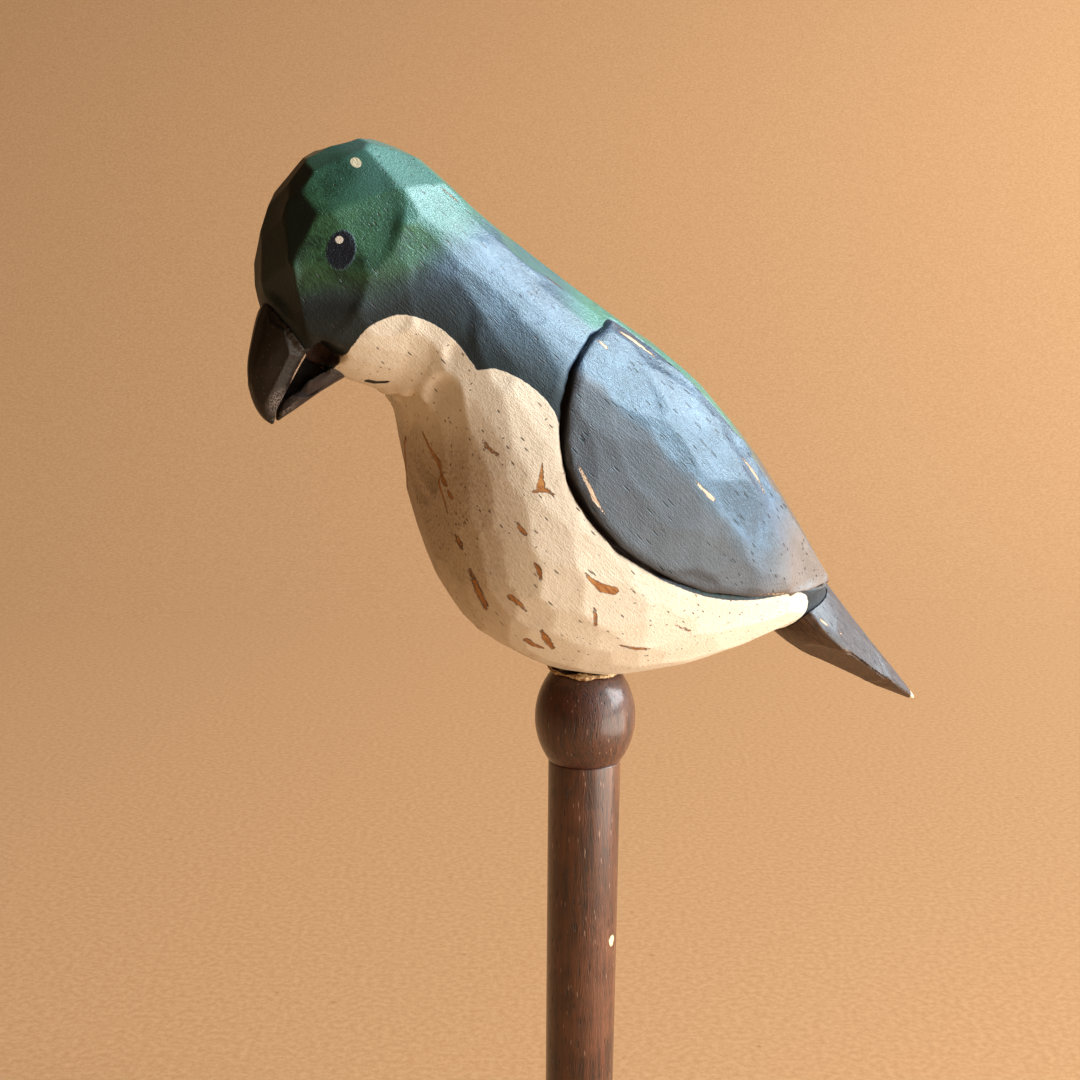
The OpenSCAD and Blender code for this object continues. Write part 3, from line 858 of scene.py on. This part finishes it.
def mark_eye(skin):
    """Marks the eye and its glint on both sides, and the crown's dot and the throat's slit on the left."""
    x, z = skin.side_view().T
    side = skin.v[:, 1]
    eye_x, eye_z = x - EYE[0], z - EYE[1]
    far = np.hypot((eye_x * math.cos(EYE_LEAN) - eye_z * math.sin(EYE_LEAN)) / EYE_RADII[0],
                   (eye_x * math.sin(EYE_LEAN) + eye_z * math.cos(EYE_LEAN)) / EYE_RADII[1])
    glint = GLINT_RADIUS - np.hypot(x - GLINT[0], z - GLINT[1])
    dot = DOT_RADIUS - np.hypot(x - DOT[0], z - DOT[1])
    slit = SLIT_HALF - line_distance(skin.side_view(), SLIT)
    skin.put("eye", np.where(np.abs(side) > 8, (1 - far) * 4.2, NOWHERE))
    skin.put("glint", np.where(np.abs(side) > 8, glint, NOWHERE))
    skin.put("dot", np.where(side < -6, dot, NOWHERE))
    skin.put("slit", np.where(side < 0, slit, NOWHERE))


def mark_body_wear(skin, inner, rng):
    """Marks the lost paint, the painted shade under the throat, the hollows and the open grooves round the wings.
    """
    x, z = skin.side_view().T
    side = skin.v[:, 1]
    bare = losses(skin.side_view(), side, BODY_BARE, rng)
    front = losses(np.stack([-np.abs(side), z], 1), side, FRONT_BARE, rng)
    skin.put("bare", np.where(x < -38, np.maximum(bare, front), bare))
    # painted shade on the front of the breast below the throat
    skin.put("breast_shade", ramp(x, -26, -50) * ramp(z, 78, 62))
    skin.put("ridge", skin.ridges())
    skin.put("groove", inner * ramp(line_distance(skin.side_view(), WING_TOP), 1.5, 3.5) * (z > 4))


def make_body():
    body = dense_copy("body", "carved_body", 0.72)
    skin = Skin(body)
    edges = skin.sharp(24)
    outer = skin.outer(edges, skin.v[:, 2].argmax())
    inner = inner_of(skin, outer)
    rng = np.random.default_rng(11)
    carve_body(skin, edges, outer, inner, rng)
    bib = np.vstack([smooth_line(BIB_CHEEK), smooth_line(BIB_FLANK), BIB_BELOW])
    bib_depth = depth_in(skin.side_view(), bib)
    skin.put("bib", bib_depth)
    mark_upper_paint(skin, inner, bib_depth)
    mark_eye(skin)
    mark_body_wear(skin, inner, rng)
    skin.done()
    body.data.materials.append(body_look())
    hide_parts("body")
    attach(body, "root")


# ---- wings

def carve_wing(skin, side, edges, outer, rng):
    skin.smooth(12, 0.5, 1 - edges)
    skin.smooth_lines(edges)
    skin.open = outer & (skin.spread(edges, 1) < EDGE_LIMIT)
    normals = skin.normals()
    far = line_distance(skin.side_view(), WING_TOP)
    lowered = -normals * (WING_LET_DOWN * (1 - ramp(far, 1.5, 8)))[:, None]
    skin.v += carried(skin, lowered)
    from_middle = skin.v - WING_MIDDLE
    from_middle[:, 1] = 0
    away = np.linalg.norm(from_middle, axis=1)
    widened = WING_WIDENED * ramp(away, 3, 25) * ramp(far, 2, 9)
    skin.v += from_middle * (widened / np.maximum(away, 1))[:, None]
    skin.v += np.array([0.72, 0, 0.69]) * (WING_OVER_BACK * (1 - ramp(far, 1, 8)))[:, None]
    rows = [row for row in mirrored(WING_CUTS) if row[1] * side > 0]
    cuts = placed_cuts(skin, normals, rows, 0.12)
    cuts += scattered_cuts(skin, normals, rng, outer, 10, (8, 12), (4, 5.5))
    whittle(skin, cuts, ramp(far, 0.5, 6))
    skin.smooth_lines(edges)
    skin.smooth(3, 0.4, 1.0, False)


def make_wing(side):
    """The left wing for side -1, the right wing for side 1."""
    name = "left_wing" if side < 0 else "right_wing"
    wing = dense_copy(name, "carved_" + name, 0.6)
    skin = Skin(wing)
    edges = skin.sharp(24)
    outer = skin.outer(edges, np.abs(skin.v[:, 1]).argmax())
    rng = np.random.default_rng(21 + side)
    carve_wing(skin, side, edges, outer, rng)
    x, z = skin.side_view().T
    scallops = 2.2 * np.abs(np.sin((x - z) * 0.13))
    skin.put("lower", ramp(z + x * 0.95 + scallops, 74, 69 - 0.25 * np.maximum(x, 0)))
    skin.put("tip", ramp(x - z * 0.25, 24, 46))
    skin.put("bare", losses(skin.side_view(), skin.v[:, 1], WING_BARE, rng, 0.65))
    skin.put("side", inner_of(skin, outer) * ramp(line_distance(skin.side_view(), WING_TOP), 1.5, 3.5))
    skin.done()
    wing.data.materials.append(bpy.data.materials.get("carved_wing_paint") or wing_look())
    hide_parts(name)
    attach(wing, "root")


# ---- bill and tail

# Cuts of the bill and the tail, as BODY_CUTS
UPPER_BILL_CUTS = [(-92, -6, 290, 85, 14, 3.5), (-90, -7, 300, 60, 9, 4), (-86, -8, 293, 70, 14, 5),
                   (-88, -7, 283, 72, 12, 4), (-95, -2, 292, 86, 12, 3)]
LOWER_BILL_CUTS = [(-76, -7, 288, 48, 12, 4), (-81, -6, 282, 45, 9, 3), (-76, -2, 284, 42, 12, 4)]
TAIL_CUTS = [(77, -12, 208, -48, 12, 5), (86, -10, 200, -48, 12, 5), (75, -7, 199, -38, 12, 6),
             (85, -6, 193, -36, 12, 5), (82, 0, 212, -48, 12, 6)]
# Lost paint along the upper bill's cutting edge and beside the tail's root: x, z - 200, radius
CUTTING_EDGE_BARE = [
    [(-80.3, 95.2, 0.3), (-81.7, 93, 1.3), (-83.5, 89.7, 1.4), (-85.3, 86, 1.0), (-86.6, 83, 0.2)],
]
TAIL_BARE = [
    [(68.5, 11.5, 0.4), (70, 10.2, 0.8), (71.5, 9.2, 0.3)],
    [(75.5, 7, 0.2), (77, 6, 0.5)],
]
# The line to which the lower bill is planed down, from its seat to its tip: x, z
MOUTH_START, MOUTH_END = np.array([-70.0, 293.0]), np.array([-88.6, 278.1])
# The inside of the open mouth, painted near black as the bill's black paint with the mouth's shade, and the
# rubbed place by the hook: x, z - 200
INTO_MOUTH = np.array([(-84.5, 90), (-78, 99), (-66, 96), (-84, 80), (-89.5, 75)])
RUBBED = (-88.4, 79)


def open_mouth(skin):
    """Planes the lower bill's upper side down to a line seen from the side, and raises the web in its middle,
    which is painted near black as shade in the mouth.
    Gives how far each vertex went, in mm."""
    along = unit(MOUTH_END - MOUTH_START)
    out = np.array([along[1], -along[0]])
    height = (skin.v[:, [0, 2]] - MOUTH_START) @ out
    from_middle = np.abs(skin.v[:, 1])
    above = np.maximum(height, 0) * ramp(from_middle, 1.4, 2.4)
    rise = 2.0 * ramp(height, 0.2, 1.5) * (1 - ramp(from_middle, 1.2, 2.0))
    skin.v[:, [0, 2]] += (rise - above)[:, None] * out
    return above + rise


def make_bill(name, cuts_by_hand, bare):
    bill = dense_copy(name, "carved_" + name, 0.36)
    lower = name == "lower_bill"
    skin = Skin(bill)
    edges = skin.sharp(40)
    skin.smooth(10, 0.5, 1 - edges)
    planed = open_mouth(skin) if lower else np.zeros(len(skin.v))
    cuts = placed_cuts(skin, skin.normals(), mirrored(cuts_by_hand), 0.12, 1.2)
    whittle(skin, cuts, 1 - edges, 40)
    skin.smooth(2, 0.4, 1 - edges, False)
    x, z = skin.side_view().T
    from_middle = np.abs(skin.v[:, 1])
    skin.put("pale", lower * ramp(from_middle, 1, 4))
    skin.put("bare", losses(skin.side_view(), skin.v[:, 1], bare, np.random.default_rng(31)))
    skin.put("rubbed", ramp(np.hypot(x - RUBBED[0], z - RUBBED[1]), 5, 1))
    # the inside of the mouth, the raised web and the planed face, painted near black: black paint with the
    # mouth's shade painted in
    into_mouth = 0.85 * inside(skin.side_view(), INTO_MOUTH) * ramp(from_middle, 5.5, 3.5)
    web = (z > 93 + (x + 70) * 0.8 + 0.4) * lower
    skin.put("mouth", np.max([into_mouth, web, ramp(skin.spread(planed, 2), 0.1, 0.4)], 0))
    skin.done()
    bill.data.materials.append(bpy.data.materials.get("carved_bill_paint") or bill_look())
    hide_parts(name)
    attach(bill, "root")


def make_tail():
    tail = dense_copy("tail", "carved_tail", 0.4)
    skin = Skin(tail)
    edges = skin.sharp(40)
    thick = (1 - edges) * ramp(skin.v[:, 0], 103, 92)
    skin.smooth(10, 0.5, thick)
    cuts = placed_cuts(skin, skin.normals(), mirrored(TAIL_CUTS), 0.1, 1.5)
    whittle(skin, cuts, thick, 40)
    skin.smooth_lines(edges)
    skin.smooth(2, 0.4, thick, False)
    ahead, _, up = skin.normals().T
    skin.put("under", ramp(up * 0.8 + ahead * 0.6, 0.12, -0.12))
    tip = ramp(skin.v[:, 0], 109.5, 112.5) * 2 - 1.0
    chips = losses(skin.side_view(), skin.v[:, 1], TAIL_BARE, np.random.default_rng(41))
    skin.put("bare", np.maximum(tip, chips))
    skin.put("ridge", skin.ridges())
    skin.done()
    tail.data.materials.append(tail_look())
    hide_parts("tail")
    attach(tail, "root")


# ---- turned pieces and glue

def object_of(mesh, name):
    """A new object from a finished bmesh, smooth but for the flat ends of a turned piece."""
    made = bpy.data.meshes.new(name)
    mesh.to_mesh(made)
    mesh.free()
    made.polygons.foreach_set("use_smooth", [len(p.vertices) == 4 for p in made.polygons])
    obj = bpy.data.objects.new(name, made)
    bpy.context.collection.objects.link(obj)
    return obj


def lathe(name, outline, sides, wobble, seed):
    """A turned solid: outline is radius and height from the lower end to the upper end, and wobble is how far
    it is out of round, all in mm."""
    rng = np.random.default_rng(seed)
    phase = rng.uniform(0, 2 * math.pi, 4)
    turns = np.arange(sides) * 2 * math.pi / sides
    mesh = bmesh.new()
    rings = []
    for r, z in outline:
        swell = wobble * (np.sin(2 * turns + phase[0] + z * 0.02)
                          + 0.6 * np.sin(3 * turns + phase[1] - z * 0.03)
                          + 0.5 * np.sin(5 * turns + phase[2]) - 2.1) * min(1, r / 4)
        rings.append([mesh.verts.new((MM * (r + s) * math.cos(t), MM * (r + s) * math.sin(t), MM * z))
                      for t, s in zip(turns, swell)])
    for low, high in zip(rings[:-1], rings[1:]):
        for i in range(sides):
            j = (i + 1) % sides
            mesh.faces.new((low[i], low[j], high[j], high[i]))
    mesh.faces.new(rings[0][::-1])
    mesh.faces.new(rings[-1])
    bmesh.ops.recalc_face_normals(mesh, faces=mesh.faces)
    return object_of(mesh, name)


def between(a, b, step):
    """Points from a to b, about step apart, without b."""
    a, b = np.array(a, float), np.array(b, float)
    count = max(1, round(np.linalg.norm(b - a) / step))
    return [tuple(a + (b - a) * i / count) for i in range(count)]


def rounded(points, radius, step):
    """An outline with each inner corner rounded, and points about step apart along its runs."""
    points = [np.array(p, float) for p in points]
    out, start = [], points[0]
    for before, corner, after in zip(points[:-2], points[1:-1], points[2:]):
        back, on = before - corner, after - corner
        take = min(radius, np.linalg.norm(back) * 0.45, np.linalg.norm(on) * 0.45)
        enter = corner + unit(back) * take
        leave = corner + unit(on) * take
        out += between(start, enter, step)
        for t in (0, 0.25, 0.5, 0.75):
            out.append(tuple((1 - t) ** 2 * enter + 2 * t * (1 - t) * corner + t * t * leave))
        start = leave
    return out + between(start, points[-1], step) + [tuple(points[-1])]


def size_of(node):
    """The lowest and highest place of a turned CAD node, and its radius, in mm."""
    low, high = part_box(node)
    return low.z / MM, high.z / MM, high.x / MM


def stand_piece(obj, node, look):
    skin = Skin(obj)
    chip = np.full(len(skin.v), NOWHERE)
    if node == "post":
        middle, radii = np.array([5.4, -8.4, 121.5]), (1.5, 1.6, 1.7)
        chip = 1.0 - np.linalg.norm((skin.v - middle) / radii, axis=1)
    skin.put("chip", chip)
    obj.data.materials.append(look)
    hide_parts(node)
    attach(obj, "root")


def make_post():
    """The post, a little narrower at its foot, with a tenon at each end."""
    low, high, radius = size_of("post")
    base_top = size_of("base")[1]
    ball_low = size_of("ball_collar")[0]
    end, lower_tenon, foot, upper_tenon = 2, 6, 9.75, 5
    outline = [(end, low), (lower_tenon, low), (lower_tenon, base_top), (foot, base_top), (radius, ball_low),
               (upper_tenon, ball_low), (upper_tenon, high), (end, high)]
    post = lathe("turned_post", rounded(outline, 0.4, 2.0), 96, 0.05, 51)
    stand_piece(post, "post", dark_wood_look("post_wood", 90, 0.05, 0.4))


def make_ball():
    """The ball: an arc that is longer above its waist than below it, and flat ends."""
    low, high, radius = size_of("ball_collar")
    arc, waist, bore = 21.5, 12.5, 5.2
    angles = np.linspace(-math.asin(waist / arc), math.asin((high - low - waist) / arc), 30)
    outline = [(radius - arc + arc * math.cos(a), low + waist + arc * math.sin(a)) for a in angles]
    ball = lathe("turned_ball", [(bore, low)] + outline + [(bore, high)], 96, 0.06, 52)
    stand_piece(ball, "ball_collar", dark_wood_look("ball_wood", 88, 0.22, 0.25))


def make_base():
    """The foot: hollowed a little below, with a round rim, and a slope with three turned grooves."""
    _, top, radius = size_of("base")
    rim = [(radius - 5 + 5 * math.cos(a), 5 + 5 * math.sin(a)) for a in np.radians(np.linspace(-86, 67, 16))]
    slope_low, slope_high = np.array(rim[-1]), np.array([27.2, top])
    slope = []
    for t in np.linspace(0.02, 1, 40):
        groove = sum(0.45 * math.exp(-((t - at) / 0.018) ** 2) for at in (0.07, 0.12, 0.9))
        slope.append(tuple(slope_low + (slope_high - slope_low) * t - np.array([0.38, 0.92]) * groove))
    outline = [(3, 0.3), (40, 0.3), (42, 0.0)] + rim + slope + [(12, top), (6.1, top)]
    base = lathe("turned_base", outline, 144, 0.05, 53)
    stand_piece(base, "base", dark_wood_look("base_wood", 2, 0.15, 0.4))


def make_glue():
    """The squeezed-out glue in the joint of the ball and the belly."""
    top = size_of("ball_collar")[1]
    rng = np.random.default_rng(61)
    radius, count, sides = 9.9, 120, 10
    turns = np.arange(count) * 2 * math.pi / count
    size = 0.55 + 0.3 * np.sin(3 * turns + 1) + 0.25 * np.sin(7 * turns + 4) + rng.uniform(-0.12, 0.12, count)
    mesh = bmesh.new()
    rings = []
    for t, s in zip(turns, np.clip(size * 1.25, 0.3, 1.4)):
        ring = []
        for u in np.arange(sides) * 2 * math.pi / sides:
            r, z = radius + s * math.cos(u), top + 0.4 + 0.8 * s * math.sin(u)
            ring.append(mesh.verts.new((MM * r * math.cos(t), MM * r * math.sin(t), MM * z)))
        rings.append(ring)
    for low, high in zip(rings, rings[1:] + rings[:1]):
        for i in range(sides):
            j = (i + 1) % sides
            mesh.faces.new((low[i], high[i], high[j], low[j]))
    bmesh.ops.recalc_face_normals(mesh, faces=mesh.faces)
    glue = object_of(mesh, "glue_line")
    glue.data.materials.append(glue_look())
    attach(glue, "root")


def dress_pegs():
    look = peg_look()
    for name in ("wing_pegs", "bill_pegs", "tail_peg"):
        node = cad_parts[name]
        node.data.materials.clear()
        node.data.materials.append(look)


# ---- stage, lights and camera

AZIMUTH, ELEVATION, ROLL = math.radians(-25), math.radians(10.6), math.radians(0.6)


def make_stage():
    """A card floor that sweeps up behind the object, square to the camera."""
    near, bend, far, rise = -2.4, 0.9, 4.4, 2.52
    curve = [(bend + t, 0.42 * t * t) for t in np.linspace(0.1, 1, 12)]
    line = [(near, 0.0), (bend, 0.0)] + curve + [(far, rise)]
    mesh = bmesh.new()
    rows = [[mesh.verts.new((x, y, z)) for x in np.linspace(-4.5, 4.5, 7)] for y, z in line]
    for low, high in zip(rows[:-1], rows[1:]):
        for i in range(6):
            mesh.faces.new((low[i], low[i + 1], high[i + 1], high[i]))
    sweep = object_of(mesh, "sweep")
    sweep.rotation_euler[2] = AZIMUTH
    sweep.data.materials.append(card_look())


def area_light(name, toward, distance, size, power, colour):
    """A lamp that looks at the bird from a direction, distance and size in metres, power in watts."""
    data = bpy.data.lights.new(name, "AREA")
    data.shape = "RECTANGLE"
    data.size, data.size_y = size
    data.energy = power
    data.color = colour
    lamp = bpy.data.objects.new(name, data)
    toward = Vector(toward).normalized()
    lamp.location = Vector((-0.015, 0, 0.25)) + toward * distance
    lamp.rotation_euler = toward.to_track_quat("Z", "Y").to_euler()
    lamp.visible_camera = False
    bpy.context.collection.objects.link(lamp)


def make_lights():
    area_light("window", (0.81, -0.40, 0.43), 4.0, (2.9, 2.5), 330, (0.95, 0.98, 1.0))
    area_light("sky", (0.80, -0.10, 0.60), 3.0, (1.3, 1.3), 48, (0.92, 0.97, 1.0))
    area_light("wall", (0.50, -0.85, 0.13), 2.6, (1.6, 0.7), 10, (1.0, 0.97, 0.92))
    area_light("reflector", (0.665, -0.665, -0.34), 0.44, (0.5, 0.18), 1.5, (1.0, 0.92, 0.80))
    world = bpy.data.worlds.new("room")
    world.use_nodes = True
    shade = world.node_tree.nodes["Background"]
    shade.inputs["Color"].default_value = (0.80, 0.46, 0.22, 1)
    shade.inputs["Strength"].default_value = 0.10
    bpy.context.scene.world = world
    bpy.context.scene.view_settings.view_transform = "Standard"


def make_camera():
    """The photograph's view, with the camera half a metre from the point it looks at."""
    looks_at, distance = Vector((-0.0146, 0, 0.2381)), 0.5
    back = Vector((math.sin(AZIMUTH) * math.cos(ELEVATION), -math.cos(AZIMUTH) * math.cos(ELEVATION),
                   math.sin(ELEVATION)))
    right = Vector((math.cos(AZIMUTH), math.sin(AZIMUTH), 0))
    up = back.cross(right)
    tilted_right = right * math.cos(ROLL) + up * math.sin(ROLL)
    tilted_up = up * math.cos(ROLL) - right * math.sin(ROLL)
    data = bpy.data.cameras.new("camera")
    data.sensor_width = 36
    data.lens = 60.8
    camera = bpy.data.objects.new("camera", data)
    turn = Matrix((tilted_right, tilted_up, back)).transposed()
    camera.matrix_world = Matrix.Translation(looks_at + back * distance) @ turn.to_4x4()
    bpy.context.collection.objects.link(camera)
    bpy.context.scene.camera = camera


make_camera()
make_stage()
make_lights()
make_body()
make_wing(-1)
make_wing(1)
make_bill("upper_bill", UPPER_BILL_CUTS, CUTTING_EDGE_BARE)
make_bill("lower_bill", LOWER_BILL_CUTS, [])
make_tail()
make_post()
make_ball()
make_base()
make_glue()
dress_pegs()
